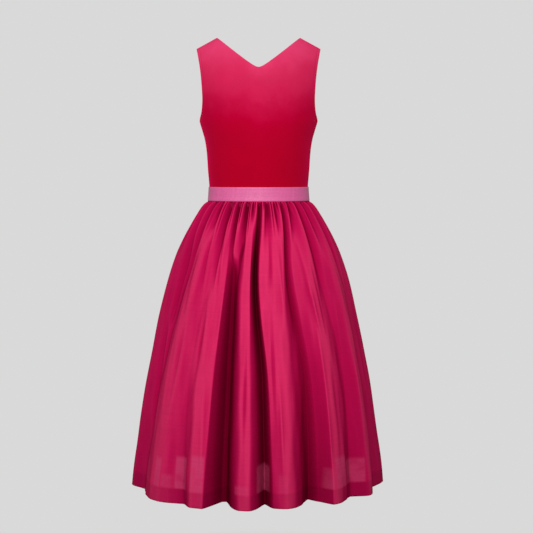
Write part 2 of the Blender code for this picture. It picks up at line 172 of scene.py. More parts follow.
# Gathers: angle of the valley in the waist seam, its depth, and where it fades out
Gather = namedtuple("Gather", "angle depth length")
GATHER_START = 0.010
GATHER_FULL = 0.030
GATHER_FADE = 1.5
VALLEY_NARROW = 1.5
BACK_GATHERS = [Gather(*row) for row in (
    (-84.0, 0.0150, 0.130),
    (-73.5, 0.0120, 0.090),
    (-61.5, 0.0160, 0.170),
    (-52.0, 0.0135, 0.100),
    (-38.4, 0.0160, 0.200),
    (-27.5, 0.0150, 0.180),
    (-15.3, 0.0130, 0.170),
    (-7.0, 0.0040, 0.060),
    (1.5, 0.0125, 0.260),
    (12.0, 0.0105, 0.100),
    (22.0, 0.0050, 0.090),
    (32.7, 0.0130, 0.240),
    (41.3, 0.0120, 0.090),
    (53.0, 0.0160, 0.220),
    (62.3, 0.0135, 0.110),
    (74.0, 0.0155, 0.180),
    (84.0, 0.0130, 0.100),
)]
FRONT_GATHERS_A_SIDE = 9
FRONT_GATHER_DEPTH = 0.0092

# Creases: angle and drop of the upper end, length, how far it leans to the side, width across and
# depth, which is less than nothing on a ridge
Crease = namedtuple("Crease", "angle drop length lean width depth")
CREASES = [Crease(*row) for row in (
    (-74.0, 0.020, 0.300, -1.0, 0.0065, 0.0150),
    (-78.0, 0.260, 0.380, 2.0, 0.0080, 0.0060),
    (-70.0, 0.170, 0.230, -4.0, 0.0050, 0.0022),
    (-58.0, 0.080, 0.260, -3.0, 0.0060, -0.0020),
    (-50.0, 0.230, 0.300, -4.0, 0.0070, 0.0024),
    (-46.0, 0.060, 0.170, 3.0, 0.0045, 0.0026),
    (-36.5, 0.240, 0.220, -2.0, 0.0055, 0.0020),
    (-33.0, 0.090, 0.140, 3.5, 0.0040, 0.0022),
    (-31.0, 0.420, 0.230, 2.0, 0.0060, -0.0020),
    (-13.0, 0.080, 0.130, -6.0, 0.0040, 0.0050),
    (-7.5, 0.300, 0.330, -0.5, 0.0040, 0.0018),
    (8.0, 0.230, 0.360, 1.5, 0.0045, 0.0022),
    (11.0, 0.060, 0.150, -2.0, 0.0050, 0.0026),
    (12.0, 0.400, 0.270, 1.0, 0.0050, -0.0020),
    (18.5, 0.100, 0.150, -1.0, 0.0040, 0.0016),
    (34.0, 0.080, 0.180, 3.0, 0.0050, 0.0018),
    (37.0, 0.180, 0.150, 4.0, 0.0035, -0.0024),
    (38.5, 0.260, 0.460, 1.0, 0.0045, -0.0030),
    (43.0, 0.120, 0.240, 3.0, 0.0045, 0.0024),
    (46.0, 0.350, 0.300, 1.0, 0.0055, 0.0022),
    (57.0, 0.210, 0.260, 1.0, 0.0055, -0.0026),
    (60.0, 0.380, 0.250, 3.0, 0.0060, 0.0020),
    (73.0, 0.040, 0.130, 3.0, 0.0050, 0.0060),
    (70.0, 0.170, 0.300, 2.0, 0.0055, 0.0024),
    (86.0, 0.200, 0.330, 2.0, 0.0060, 0.0020),
    (103.0, 0.110, 0.260, 1.0, 0.0050, 0.0022),
    (118.0, 0.180, 0.290, -2.0, 0.0060, 0.0024),
    (124.0, 0.090, 0.170, 3.0, 0.0045, -0.0020),
    (133.0, 0.260, 0.280, 2.0, 0.0055, 0.0020),
    (148.0, 0.100, 0.230, -2.0, 0.0050, 0.0024),
    (152.0, 0.380, 0.260, 1.5, 0.0060, 0.0022),
    (161.0, 0.170, 0.250, 1.0, 0.0045, -0.0022),
    (174.0, 0.080, 0.210, -1.5, 0.0050, 0.0022),
    (-175.0, 0.260, 0.310, 1.0, 0.0055, 0.0022),
    (-158.0, 0.090, 0.200, -2.5, 0.0050, 0.0020),
    (-149.0, 0.300, 0.280, 2.0, 0.0060, -0.0022),
    (-145.0, 0.110, 0.190, 2.0, 0.0045, 0.0024),
    (-131.0, 0.210, 0.300, 1.0, 0.0055, 0.0022),
    (-120.0, 0.100, 0.210, -3.0, 0.0050, 0.0024),
    (-104.0, 0.240, 0.290, 2.0, 0.0055, -0.0020),
    (-98.0, 0.080, 0.220, -1.0, 0.0045, 0.0022),
)]
RIPPLE = 0.0007

# Where the skirt's single cloth shows lighter, below the lining's hem: from one angle to another,
# the drop where it begins, and how light it is
Light = namedtuple("Light", "first last top share")
SINGLE_CLOTH = [Light(*row) for row in (
    (-74.0, -66.0, 0.622, 0.30),
    (-58.0, -53.0, 0.607, 0.75),
    (-53.0, -46.5, 0.645, 0.60),
    (-46.5, -38.5, 0.600, 0.95),
    (-35.5, -27.5, 0.590, 0.90),
    (-13.0, -4.5, 0.655, 0.45),
    (-1.5, 6.5, 0.612, 1.00),
    (10.0, 16.0, 0.632, 0.30),
    (37.5, 41.5, 0.625, 0.60),
    (41.5, 52.0, 0.602, 0.85),
    (52.0, 64.0, 0.617, 0.75),
    (72.0, 79.0, 0.626, 0.30),
    (98.0, 107.0, 0.603, 0.80),
    (107.0, 115.0, 0.641, 0.60),
    (121.0, 131.0, 0.596, 0.90),
    (139.0, 146.0, 0.618, 0.50),
    (152.0, 164.0, 0.605, 0.85),
    (171.0, 178.0, 0.630, 0.60),
    (-177.0, -168.0, 0.608, 0.80),
    (-158.0, -148.0, 0.598, 0.85),
    (-146.0, -140.0, 0.636, 0.50),
    (-129.0, -118.0, 0.604, 0.90),
    (-108.0, -99.0, 0.619, 0.70),
)]
LIGHT_EDGE_ANGLE = 1.1
LIGHT_EDGE_DROP = 0.009

# Rows of the skirt, closer together towards the band
COLUMNS_A_GATHER = 24
SKIRT_ROWS = 168
SKIRT_UNDER_BAND = 0.007
ROW_SPREAD = 1.12
SKIRT_DROPS = np.concatenate((
    [-SKIRT_UNDER_BAND, -0.004, -0.002, 0.0],
    SKIRT_LENGTH * (np.arange(1, SKIRT_ROWS + 1) / SKIRT_ROWS) ** ROW_SPREAD,
))
ALLOWANCE = 0.008
SHARP_VALLEYS = 0.35

# Fine gathers: how many to a gather, how far each strays from its even place, and the least and
# most of its width in degrees, depth and length
FINE_GATHERS_A_GATHER = 3
FINE_STRAY = 0.36
FINE_WIDTHS = (0.50, 1.05)
FINE_DEPTHS = (0.0012, 0.0042)
FINE_LENGTHS = (0.020, 0.110)

# The columns to each side in which a point of the skirt looks for cloth that hides the sky
LOOK_ROUND = list(range(1, 24)) + list(range(24, 96, 3))


# ---- Reading the tables, for many places at once

def read(rows, column, at):
    """A smooth reading of one column of a table, with no overshoot between its rows."""
    keys = np.array([row[0] for row in rows], float)
    values = np.array([getattr(row, column) for row in rows], float)
    slopes = np.diff(values) / np.diff(keys)
    product = slopes[:-1] * slopes[1:]
    total = slopes[:-1] + slopes[1:]
    inner = np.where(product > 0, 2 * product / np.where(total == 0, 1, total), 0)
    tangents = np.concatenate((slopes[:1], inner, slopes[-1:]))
    at = np.clip(np.asarray(at, float), keys[0], keys[-1])
    i = np.clip(np.searchsorted(keys, at, side="right") - 1, 0, len(keys) - 2)
    width = keys[i + 1] - keys[i]
    share = (at - keys[i]) / width
    rest = 1 - share
    return (values[i] * rest ** 2 * (1 + 2 * share) + values[i + 1] * share ** 2 * (3 - 2 * share)
            + width * share * rest * (tangents[i] * rest - tangents[i + 1] * share))


def ease(share):
    share = np.clip(share, 0, 1)
    return share * share * (3 - 2 * share)


def turn(angle):
    return np.sin(np.radians(angle)), np.cos(np.radians(angle))


# ---- Meshes

def linked(name, data):
    """A new object in the scene."""
    made = bpy.data.objects.new(name, data)
    SCENE.collection.objects.link(made)
    return made


def grid_mesh(name, points):
    """A mesh of a grid of points, and the corners of its faces."""
    rows, columns = points.shape[:2]
    place = np.arange(rows * columns).reshape(rows, columns)
    corners = (place[:-1, :-1], place[1:, :-1], place[1:, 1:], place[:-1, 1:])
    faces = np.stack(corners, -1).reshape(-1, 4)
    mesh = bpy.data.meshes.new(name)
    mesh.from_pydata(points.reshape(-1, 3).tolist(), [], faces.tolist())
    return mesh, faces


def cloth(name, points, cut, node, slot, *materials):
    """A sheet of cloth from a grid of points, its UV map the place in the cut, in metres.

    The grid's rows go down and its columns round towards +X, seen from outside.
    """
    mesh, faces = grid_mesh(name, points)
    layer = mesh.uv_layers.new(name="cut")
    layer.data.foreach_set("uv", cut.reshape(-1, 2)[faces].ravel())
    mesh.shade_smooth()
    for material in materials:
        mesh.materials.append(material)
    piece = linked(name, mesh)
    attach(piece, "root")
    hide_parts(node)
    return piece


def paint(piece, name, values):
    """Keeps one number a point with the mesh, for its material."""
    layer = piece.data.attributes.new(name, "FLOAT", "POINT")
    layer.data.foreach_set("value", np.ascontiguousarray(values.ravel(), np.float32))


def normals(points):
    """Outward normals of a grid whose rows go down and whose columns go round towards +X."""
    down = np.gradient(points, axis=0)
    round_body = np.gradient(points, axis=1)
    normal = np.cross(down, round_body)
    return normal / np.linalg.norm(normal, axis=-1, keepdims=True)


def lengths(points, axis):
    """Distance run along a grid's rows or columns, from its first one."""
    steps = np.linalg.norm(np.diff(points, axis=axis), axis=-1)
    start = np.zeros_like(np.take(steps, [0], axis=axis))
    return np.concatenate((start, np.cumsum(steps, axis=axis)), axis=axis)


# ---- Skirt

def fold_lines(drops):
    """Angle and inset of every large fold's line at some depths: one row a fold."""
    angles, insets = [], []
    for fold in FOLDS:
        turns = [Level(0.0, fold.waist), Level(UPPER_LEVEL, fold.upper),
                 Level(LOWER_LEVEL, fold.lower), Level(SKIRT_LENGTH, fold.hem)]
        depths = [Level(0.0, 0.0), Level(fold.start, 0.0), Level(UPPER_LEVEL, fold.inset_upper),
                  Level(LOWER_LEVEL, fold.inset_lower), Level(SKIRT_LENGTH, fold.inset_hem)]
        angles.append(read(turns, "value", drops))
        insets.append(read(depths, "value", drops))
    return np.array(angles), np.array(insets)


def large_folds(seam_angles, drops):
    """Angle and inset that the large folds give the cloth: one row a depth, one column an angle."""
    waist = np.array([fold.waist for fold in FOLDS])
    after = np.searchsorted(waist, seam_angles, side="right")
    before = (after - 1) % len(FOLDS)
    turn_before = np.where(after == 0, -360, 0)
    turn_after = np.where(after == len(FOLDS), 360, 0)
    after = after % len(FOLDS)
    line_angles, line_insets = fold_lines(drops)
    start = waist[before] + turn_before
    share = (seam_angles - start) / (waist[after] + turn_after - start)
    angle = ((line_angles[before].T + turn_before) * (1 - share)
             + (line_angles[after].T + turn_after) * share)
    first, second = line_insets[before].T, line_insets[after].T
    up = np.where(first > second, share, 1 - share)
    wall = ease(up) * (1 - SHARP_VALLEYS) + up * (2 - up) * SHARP_VALLEYS
    deep, shallow = np.maximum(first, second), np.minimum(first, second)
    inset = deep + (shallow - deep) * wall
    return angle, inset


def front_gathers(start, end):
    """The uneven gathers of a front width, from one of its seams to the other."""
    gathers = []
    for i in range(FRONT_GATHERS_A_SIDE):
        uneven = 0.16 * np.sin(2.4 * i + 0.05 * start)
        angle = start + (end - start) * (i + 0.5 + uneven) / FRONT_GATHERS_A_SIDE
        depth = FRONT_GATHER_DEPTH * (1 + 0.25 * np.sin(1.9 * i + 0.02 * end))
        length = 0.170 + 0.080 * np.sin(2.7 * i + 0.03 * start)
        gathers.append(Gather(angle, depth, length))
    return gathers


def gather_columns(gathers, start, end):
    """Seam angle, phase, depth and length of the gather, for every column of a width."""
    ridges = [start] + [(a.angle + b.angle) / 2 for a, b in zip(gathers, gathers[1:])] + [end]
    at = np.arange(len(gathers) * COLUMNS_A_GATHER + 1) / COLUMNS_A_GATHER
    number = np.minimum(at.astype(int), len(gathers) - 1)
    phase = at - number
    valley = np.array([gather.angle for gather in gathers])[number]
    ridge = np.array(ridges)
    first, second = ridge[number], ridge[number + 1]
    angle = np.where(phase < 0.5, first + (valley - first) * 2 * phase,
                     valley + (second - valley) * (2 * phase - 1))
    depth = np.array([gather.depth for gather in gathers])[number]
    length = np.array([gather.length for gather in gathers])[number]
    return angle, phase, depth, length


def fine_gathers(seam_angles, drops, start, end, count, seed):
    """Small uneven gathers between the main ones, just under the band."""
    rng = np.random.RandomState(seed)
    places = np.arange(count) + 0.5 + rng.uniform(-FINE_STRAY, FINE_STRAY, count)
    angles = start + (end - start) * places / count
    widths = rng.uniform(*FINE_WIDTHS, count)
    depths = rng.uniform(*FINE_DEPTHS, count)
    fine_lengths = rng.uniform(*FINE_LENGTHS, count)
    inset = np.zeros((len(drops), len(seam_angles)))
    depths *= 1 + np.abs(np.sin(np.radians(angles)))
    for angle, width, depth, length in zip(angles, widths, depths, fine_lengths):
        across = np.exp(-((seam_angles - angle) / width) ** 2)
        down = ease((drops + 0.002) / 0.007) * (1 - ease(drops / length))
        inset += depth * down[:, None] * across[None, :]
    return inset


def creases(angle, drop, radius):
    """The creases that lie between the large folds, each a soft trough or ridge of its own."""
    inset = np.zeros(angle.shape)
    for crease in CREASES:
        along = (drop - crease.drop) / crease.length
        across = (angle - crease.angle - crease.lean * along) * np.pi / 180 * radius / crease.width
        window = np.clip(4 * along * (1 - along), 0, 1) ** 1.3 * (1.25 - 0.5 * along)
        inset += crease.depth * window * np.exp(-across ** 2)
    return inset


def ripples(angle, drop):
    """Faint unevenness all over the cloth."""
    a = np.radians(angle)
    waves = (np.sin(23 * a + 9 * drop + 1.0) * np.sin(11 * drop - 3 * a + 0.4)
             + np.sin(37 * a - 14 * drop + 2.2) * np.sin(17 * drop + 5 * a + 1.9)
             + 0.6 * np.sin(61 * a + 8 * drop) * np.sin(29 * drop - 7 * a))
    return RIPPLE * waves * ease(drop / 0.15)


def oval(sections, angle, drop, inset):
    """Points round the ovals that a table gives, each an inset inside its outline."""
    sine, cosine = turn(angle)
    half_width = read(sections, "half_width", drop)
    half_depth = read(sections, "half_depth", drop)
    radius = 1 / np.hypot(sine / half_width, cosine / half_depth) - inset
    height = np.broadcast_to(BAND_BOTTOM - drop, radius.shape)
    return np.stack((radius * sine, -radius * cosine, height), -1)


def skirt_surface(seam_angles, phase, depth, length, drops, extra):
    """Points of the skirt's outer surface: the outline less folds, gathers and creases."""
    angle, inset = large_folds(seam_angles, drops)
    drop = drops[:, None]
    grown = ease(drop / GATHER_START)
    left = (1 - np.clip((drop - GATHER_FULL) / (GATHER_FADE * length - GATHER_FULL), 0, 1)) ** 2
    sharp = 1 + (VALLEY_NARROW - 1) * left
    wave = (0.5 - 0.5 * np.cos(2 * np.pi * phase)) ** sharp
    inset = inset + depth * grown * left * wave + extra
    inset = inset + creases(angle, drop, read(SKIRT, "half_width", drop)) + ripples(angle, drop)
    return oval(SKIRT, angle, drop, inset)


def width_surface(gathers, start, end, seed):
    """The outer surface of one gathered width, from just under the band down to the hem."""
    seam_angles, phase, depth, length = gather_columns(gathers, start, end)
    count = FINE_GATHERS_A_GATHER * len(gathers)
    extra = fine_gathers(seam_angles, SKIRT_DROPS, start, end, count, seed)
    return skirt_surface(seam_angles, phase, depth, length, SKIRT_DROPS, extra)


def openness(ring):
    """How much of the sky each point of the skirt sees, from 0 deep in a fold to 1 on a ridge."""
    columns = ring.shape[1]
    flat = ring[..., :2]
    out = flat / np.linalg.norm(flat, axis=-1, keepdims=True)
    side = np.stack((-out[..., 1], out[..., 0]), -1)
    hidden = []
    for sign in (-1, 1):
        steepest = np.zeros(ring.shape[:2])
        for step in LOOK_ROUND:
            other = flat[:, (np.arange(columns) + sign * step) % columns] - flat
            rise = np.maximum((other * out).sum(-1), 0)
            steepest = np.maximum(steepest, rise / np.maximum(np.abs((other * side).sum(-1)), 1e-5))
        hidden.append(steepest / np.hypot(steepest, 1))
    return 1 - (hidden[0] + hidden[1]) / 2


def single_cloth(points):
    """How light each point is for being one cloth thick, with no lining or hem behind it."""
    angle = np.degrees(np.arctan2(points[..., 0], -points[..., 1]))
    drop = BAND_BOTTOM - points[..., 2]
    share = np.zeros(angle.shape)
    for light in SINGLE_CLOTH:
        inside = (ease((angle - light.first) / LIGHT_EDGE_ANGLE)
                  * ease((light.last - angle) / LIGHT_EDGE_ANGLE))
        below = ease((drop - light.top) / LIGHT_EDGE_DROP)
        share = np.maximum(share, light.share * inside * below)
    return share * (drop < HEM_TOP)


def make_width(name, points, open_share, material):
    """A width's mesh: its surface, the hem turned up inside, and its side edges turned in."""
    normal = normals(points)
    back_up = np.arange(np.searchsorted(SKIRT_DROPS, HEM_TOP), len(points))[::-1]
    roll = points[-1:] - normal[-1:] * HEM_FOLD / 2 - np.array([0, 0, HEM_FOLD / 2])
    inside = points[back_up] - normal[back_up] * HEM_FOLD
    full = np.concatenate((points, roll, inside))
    open_share = np.concatenate((open_share, open_share[-1:], open_share[back_up]))
    facing = np.concatenate((normal, normal[-1:], normal[back_up]))[:, [0, -1]]
    inward = -facing * ALLOWANCE
    for edge, next_one in ((0, 1), (-1, -2)):
        along = full[len(points):, next_one] - full[len(points):, edge]
        length = np.linalg.norm(along, axis=-1, keepdims=True)
        full[len(points):, edge] += along / length * HEM_FOLD / 2
    full = np.concatenate((full[:, :1] + inward[:, :1], full, full[:, -1:] + inward[:, 1:]), 1)
    open_share = np.concatenate((open_share[:, :1], open_share, open_share[:, -1:]), 1)
    down = lengths(points[:, points.shape[1] // 2][:, None], 0)[:, 0]
    down = np.concatenate((down, down[-1:] + HEM_FOLD, 2 * down[-1] - down[back_up] + HEM_FOLD))
    across = lengths(points[-1:], 1)[0]
    across = np.concatenate((across[:1] - ALLOWANCE, across, across[-1:] + ALLOWANCE))
    cut = np.stack(np.meshgrid(across, -down), -1)
    piece = cloth(name + "_cloth", full, cut, name, "skirt_cotton", material)
    # Painted shade: how much sky each point sees, which paints the cotton's colour darker in the
    # folds
    paint(piece, "openness", open_share)
    paint(piece, "single", single_cloth(full))
    paint(piece, "from_hem_top", full[..., 2] - (BAND_BOTTOM - HEM_TOP))
    return piece


Width = namedtuple("Width", "name gathers start end seed")


def make_skirt(material):
    """The three gathered widths, the back one and the two fronts."""
    widths = [
        Width("skirt_front_left", front_gathers(-180, -90), -180, -90, 13),
        Width("skirt_back", BACK_GATHERS, -90, 90, 11),
        Width("skirt_front_right", front_gathers(90, 180), 90, 180, 12),
    ]
    surfaces = [width_surface(*width[1:]) for width in widths]
    ring = np.concatenate([surface[:, :-1] for surface in surfaces], 1)
    seen = openness(ring)
    pieces, first = [], 0
    for width, surface in zip(widths, surfaces):
        own = np.arange(first, first + surface.shape[1]) % ring.shape[1]
        pieces.append(make_width(width.name, surface, seen[:, own], material))
        first += surface.shape[1] - 1
    return pieces


LINING_COLUMNS = 241
LINING_ROWS = 70
LINING_TOP = -0.008
LINING_HEM = 0.619
LINING_WAVE = 0.0045
LINING_WAVE_FULL = 0.45


def make_lining(material):
    """The plain lining tube, in soft waves."""
    angles = np.linspace(-180, 180, LINING_COLUMNS)
    drops = np.linspace(LINING_TOP, LINING_HEM, LINING_ROWS)
    drop = drops[:, None]
    radians = np.radians(angles)
    wave = (np.sin(9 * radians + 0.8) + 0.7 * np.sin(14 * radians - 1.1)
            + 0.4 * np.sin(23 * radians + 2.0))
    inset = LINING_WAVE * ease(drop / LINING_WAVE_FULL) * (wave + 1.6)
    points = oval(LINING, angles, drop, inset)
    across = lengths(points[-1:], 1)[0]
    cut = np.stack(np.meshgrid(across, -drops), -1)
    return cloth("skirt_lining_cloth", points, cut, "skirt_lining", "lining", material)


# ---- Bodice

BODICE_LOWER_ROWS = 44
BODICE_UPPER_ROWS = 64
BODICE_COLUMNS = 56
FEWEST_ROWS_BELOW_NECK = 6
NECK_ROW_SPREAD = 1.4
COLUMNS_CROWDED, COLUMNS_EVEN = 0.55, 0.45
SEARCHES = 40
RIM_ROUND = 0.00014
RIM_STEPS = 4
TINY = 1e-6


def shoulder_line(x):
    """Height of the shoulder seam at a distance from the middle."""
    return -SHOULDER_FALL * (np.abs(x) - NECK_HALF_WIDTH) / (SHOULDER_HALF_WIDTH - NECK_HALF_WIDTH)


def fall_at(turned):
    """How far the cloth has dropped below the shoulder line after turning over the shoulder."""
    curved = SHOULDER_ROUND * (1 - np.cos(np.radians(turned)))
    straight = SHOULDER_ROUND * (1 + np.radians(turned - 90))
    return np.where(turned < 90, curved, straight)


def turn_at(fall):
    """How far the cloth has turned over the shoulder when it has dropped this far."""
    share = fall / SHOULDER_ROUND
    curved = np.degrees(np.arccos(1 - np.minimum(share, 1)))
    return np.where(share < 1, curved, 90 + np.degrees(share - 1))


def whole_turn(across):
    """How far the cloth turns from the shoulder seam down to the underarm's height."""
    x = read(BODY, "half_width", UNDERARM) * np.sin(np.pi / 2 * across)
    return turn_at(shoulder_line(x) - UNDERARM)


def neck_height(x, neck_drop):
    tip = (np.hypot(x, NECK_TIP_ROUND) - NECK_TIP_ROUND) / (NECK_HALF_WIDTH - NECK_TIP_ROUND)
    return -neck_drop * (1 - np.minimum(tip, 1.0) ** NECK_CURVE)


def neck_x(turned, neck_drop):
    """The neckline's distance from the middle, found by halving."""
    low, high = np.zeros_like(turned), np.full_like(turned, NECK_HALF_WIDTH)
    for _ in range(SEARCHES):
        middle = (low + high) / 2
        outside = shoulder_line(middle) - neck_height(middle, neck_drop) > fall_at(turned)
        low, high = np.where(outside, middle, low), np.where(outside, high, middle)
    return (low + high) / 2


def armhole_x(turned, side):
    """The armhole's distance from the middle, found by going round."""
    x = np.full_like(turned, SHOULDER_HALF_WIDTH)
    for _ in range(SEARCHES):
        x = read(ARMHOLE, side, shoulder_line(x) - fall_at(turned))
    return x


def cup(x, z):
    """How far a bust cup stands out from the front."""
    away = np.hypot(np.abs(x) - CUP_SIDE, z - CUP_HEIGHT) / CUP_RADIUS
    return CUP_DEPTH * (0.5 + 0.5 * np.cos(np.pi * np.minimum(away, 1.0)))


def half_bodice(side, neck_drop):
    """Points of half a bodice, rows from the shoulder down, columns from the centre out.

    Also gives the last row of the armhole.
    """
    tip = 1 - turn_at(shoulder_line(0) + neck_drop) / whole_turn(0)
    rows = np.arange(BODICE_UPPER_ROWS + 1) / BODICE_UPPER_ROWS
    above = tip + (1 - tip) * rows ** NECK_ROW_SPREAD
    middle_rows = max(FEWEST_ROWS_BELOW_NECK, int(BODICE_UPPER_ROWS * tip))
    upper = np.concatenate((np.arange(middle_rows) / middle_rows * tip, above))[::-1]
    lower = -np.arange(1, BODICE_LOWER_ROWS + 1) / BODICE_LOWER_ROWS
    columns = np.arange(BODICE_COLUMNS + 1)
    across = np.sin(np.pi * (columns / BODICE_COLUMNS - 0.5)) * 0.5 + 0.5
    across = COLUMNS_CROWDED * across + COLUMNS_EVEN * columns / BODICE_COLUMNS

    share = upper[:, None]
    inner_turn, outer_turn = (1 - share) * whole_turn(0), (1 - share) * whole_turn(1)
    inner, outer = neck_x(inner_turn, neck_drop), armhole_x(outer_turn, side)
    inner = np.where(share <= tip + 1e-9, 0.0, inner)
    half_width = read(BODY, "half_width", shoulder_line(outer) - fall_at(outer_turn))
    inner_angle = np.arcsin(inner / half_width)
    outer_angle = np.arcsin(np.minimum(outer / half_width, 1.0))
    angle = inner_angle + (outer_angle - inner_angle) * across
    turned = (1 - share) * whole_turn(across)
    x = half_width * np.sin(angle)
    z = shoulder_line(x) - fall_at(turned)
    over = np.sin(np.radians(np.minimum(turned, 90)))
    y = read(BODY, side, z) * np.cos(angle) * over
    above_underarm = np.stack((x, y, z), -1)

    z = UNDERARM - lower[:, None] * (WAIST_SEAM - UNDERARM) + 0 * across
    angle = np.pi / 2 * across
    x = read(BODY, "half_width", z) * np.sin(angle)
    y = read(BODY, side, z) * np.cos(angle)
    points = np.concatenate((above_underarm, np.stack((x, y, z), -1)))
    over = np.concatenate((over, np.ones_like(x)))
    if side == "front":
        points[..., 1] += cup(points[..., 0], points[..., 2]) * over * (1 - across ** CUP_SIDE_FADE)
    return points, len(upper) - 1


def edge_distance(points, edge):
    """Distance of every point of a grid from a line of points."""
    flat = points.reshape(-1, 3)
    nearest = np.full(len(flat), np.inf)
    for a, b in zip(edge, edge[1:]):
        span = b - a
        along = np.clip((flat - a) @ span / (span @ span), 0, 1)
        nearest = np.minimum(nearest, np.linalg.norm(flat - a - along[:, None] * span, axis=1))
    return nearest.reshape(points.shape[:2])


def walled(piece, thickness):
    """Gives a sheet its real thickness inwards, with a rounded rim along its open edges."""
    mesh = bmesh.new()
    mesh.from_mesh(piece.data)
    cut = mesh.loops.layers.uv["cut"]
    mesh.normal_update()
    faces, points = list(mesh.faces), list(mesh.verts)
    reverse = len(piece.data.materials) - 1
    depth = {point: point.normal * thickness for point in points}
    rim = {}
    for point in points:
        edges = [edge for edge in point.link_edges if edge.is_boundary]
        if edges:
            out = sum((outwards(edge) for edge in edges), Vector()).normalized()
            rim[point] = [mesh.verts.new(point.co + out * RIM_ROUND * np.sin(turned)
                                         - depth[point] * (1 - np.cos(turned)) / 2, point)
                          for turned in np.pi * np.arange(1, RIM_STEPS) / RIM_STEPS]
    inner = {point: mesh.verts.new(point.co - depth[point], point) for point in points}
    for edge in [edge for edge in mesh.edges if edge.is_boundary]:
        loop = edge.link_loops[0]
        first, second = loop.vert, loop.link_loop_next.vert
        places = (loop[cut].uv.copy(), loop.link_loop_next[cut].uv.copy())
        rings = list(zip([first] + rim[first] + [inner[first]],
                         [second] + rim[second] + [inner[second]]))
        for (a, b), (c, d) in zip(rings, rings[1:]):
            strip = mesh.faces.new((b, a, c, d))
            strip.smooth = True
            for corner, place in zip(strip.loops, (places[1], places[0], places[0], places[1])):
                corner[cut].uv = place
    for face in faces:
        back = mesh.faces.new([inner[loop.vert] for loop in reversed(face.loops)])
        back.smooth, back.material_index = True, reverse
        for corner, loop in zip(back.loops, reversed(face.loops)):
            corner[cut].uv = loop[cut].uv
    mesh.to_mesh(piece.data)
    mesh.free()


def outwards(edge):
    """Direction out of the sheet across one of its open edges."""
    face = edge.link_faces[0]
    along = edge.verts[1].co - edge.verts[0].co
    out = along.cross(face.normal)
    if out.length < TINY:
        return Vector()
    middle = (edge.verts[0].co + edge.verts[1].co) / 2
    return out.normalized() * (1 if out.dot(middle - face.calc_center_median()) > 0 else -1)


def mirrored(piece):
    """Adds the other half of a symmetric panel and joins the two down the middle."""
    mesh = bmesh.new()
    mesh.from_mesh(piece.data)
    half = mesh.faces[:]
    copy = bmesh.ops.duplicate(mesh, geom=mesh.verts[:] + mesh.edges[:] + half)["geom"]
    points = [item for item in copy if isinstance(item, bmesh.types.BMVert)]
    faces = [item for item in copy if isinstance(item, bmesh.types.BMFace)]
    bmesh.ops.scale(mesh, vec=(-1, 1, 1), verts=points)
    bmesh.ops.reverse_faces(mesh, faces=faces)
    middle = [point for point in mesh.verts if abs(point.co.x) < TINY]
    bmesh.ops.remove_doubles(mesh, verts=middle, dist=TINY)
    mesh.to_mesh(piece.data)
    mesh.free()


# Painted highlight on the velvet: where its lighter, pinker top ends across the bodice, as a step
# up or down from its level on average
SheenPaintEnd = namedtuple("SheenPaintEnd", "across step")
SHEEN_PAINT_ENDS = [
    SheenPaintEnd(-0.150, 0.018), SheenPaintEnd(-0.131, 0.014), SheenPaintEnd(-0.100, 0.012), SheenPaintEnd(-0.071, 0.008),
    SheenPaintEnd(-0.041, 0.005), SheenPaintEnd(-0.022, -0.003), SheenPaintEnd(-0.011, -0.009), SheenPaintEnd(0.018, -0.012),
    SheenPaintEnd(0.034, -0.006), SheenPaintEnd(0.048, -0.001), SheenPaintEnd(0.078, 0.004), SheenPaintEnd(0.108, 0.016),
    SheenPaintEnd(0.138, 0.026),
]


def bodice_panel(name, side, neck_drop, sign, both, outer, inner):
    """A panel of the bodice: half of it, or the half and its mirror image."""
    points, underarm_row = half_bodice(side, neck_drop)
    from_armhole = edge_distance(points, points[:underarm_row + 1, -1])
    if side == "back":
        points = points * np.array([1, -1, 1])
    points = points * np.array([sign, 1, 1])
    cut = np.stack((lengths(points, 1), -lengths(points, 0)), -1)
    if (side == "back") != (sign > 0):
        points, cut, from_armhole = points[:, ::-1], cut[:, ::-1], from_armhole[:, ::-1]
    piece = cloth(name + "_cloth", points, cut, name, "velvet", outer, inner)
    paint(piece, "from_armhole", from_armhole)
    if both:
        mirrored(piece)
    place = np.array([point.co[:] for point in piece.data.vertices])
    # Painted highlight: each point's height, shifted by where the velvet's painted highlight ends
    # there
    paint(piece, "sheen_paint_height", place[:, 2] - read(SHEEN_PAINT_ENDS, "step", place[:, 0]))
    walled(piece, BODICE_WALL)
    return piece


# ---- Waistband

BAND_COLUMNS = 288
BAND_ROWS = 14


def make_waistband(material):
    """A ribbon round the waist over the seam of bodice and skirt, its ends at the front."""
    heights = np.linspace(BAND_TOP, BAND_BOTTOM, BAND_ROWS)[:, None]
    angles = np.linspace(-180, 180, BAND_COLUMNS + 1)[None, :]
    sine, cosine = turn(angles)
    out = SEAM_GAP + BAND_WALL
    down = np.clip((WAIST_SEAM - heights) / (WAIST_SEAM - BAND_BOTTOM), 0, 1)
    half_width = (read(BODY, "half_width", heights) * (1 - down)
                  + read(SKIRT, "half_width", 0.0) * down + out)
    body = np.where(np.abs(angles) > 90, read(BODY, "front", heights), read(BODY, "back", heights))
    depth = body * (1 - down) + read(SKIRT, "half_depth", 0.0) * down + out
    x, y = half_width * sine, -depth * cosine
    points = np.stack((x, y, heights + 0 * x), -1)
    cut = np.stack((lengths(points, 1), heights + 0 * x), -1)
    piece = cloth("waistband_cloth", points, cut, "waistband", "satin", material)
    walled(piece, BAND_CLOTH)
    return piece


# ---- Materials

def node(tree, kind, feeds=(), **settings):
    """A shader node with its settings made and its inputs fed from sockets or set to values."""
    made = tree.nodes.new(kind)
    for name, value in settings.items():
        setattr(made, name, value)
    for name, value in dict(feeds).items():
        if isinstance(value, bpy.types.NodeSocket):
            tree.links.new(value, made.inputs[name])
        else:
            made.inputs[name].default_value = value
    return made


